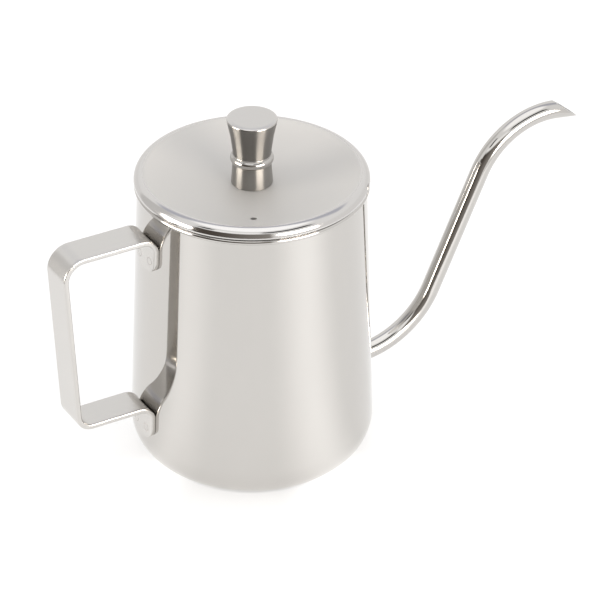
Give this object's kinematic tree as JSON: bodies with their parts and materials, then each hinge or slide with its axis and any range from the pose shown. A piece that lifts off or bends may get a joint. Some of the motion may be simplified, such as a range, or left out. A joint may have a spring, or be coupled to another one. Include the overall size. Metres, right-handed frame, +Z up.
{
  "type": "gooseneck kettle",
  "caption": "Stainless pour-over kettle with a tapered body, thin gooseneck spout, flat strap handle and a lift-off dished lid with a turned knob.",
  "frame": {"origin": "middle of the base, on the surface it stands on", "axes": "+Z up through the lid's knob, +X towards the spout's tip, handle towards -X"},
  "size_m": [0.2197, 0.09, 0.1379],
  "materials": {
    "polished_steel": "mirror-polished stainless steel",
    "weld_steel": "dressed weld in stainless steel",
    "strap_steel": "fine-brushed stainless steel strap",
    "satin_steel": "satin stainless steel sheet",
    "turned_steel": "turned stainless steel",
    "fastener_steel": "plain stainless fastener"
  },
  "bodies": {
    "vessel": {"body_shell": "polished_steel", "spout_tube": "polished_steel", "spout_weld_bead": "weld_steel", "handle_strap": "strap_steel"},
    "lid": {"lid_pan": "satin_steel", "lid_plug_ring": "satin_steel", "lid_knob": "turned_steel", "knob_washer": "fastener_steel", "knob_screw": "fastener_steel"}
  },
  "joints": [
    {"name": "lid_lift", "type": "slide", "parent": "vessel", "child": "lid", "axis": [0, 0, 1], "range_m": [0, 0.07]}
  ]
}
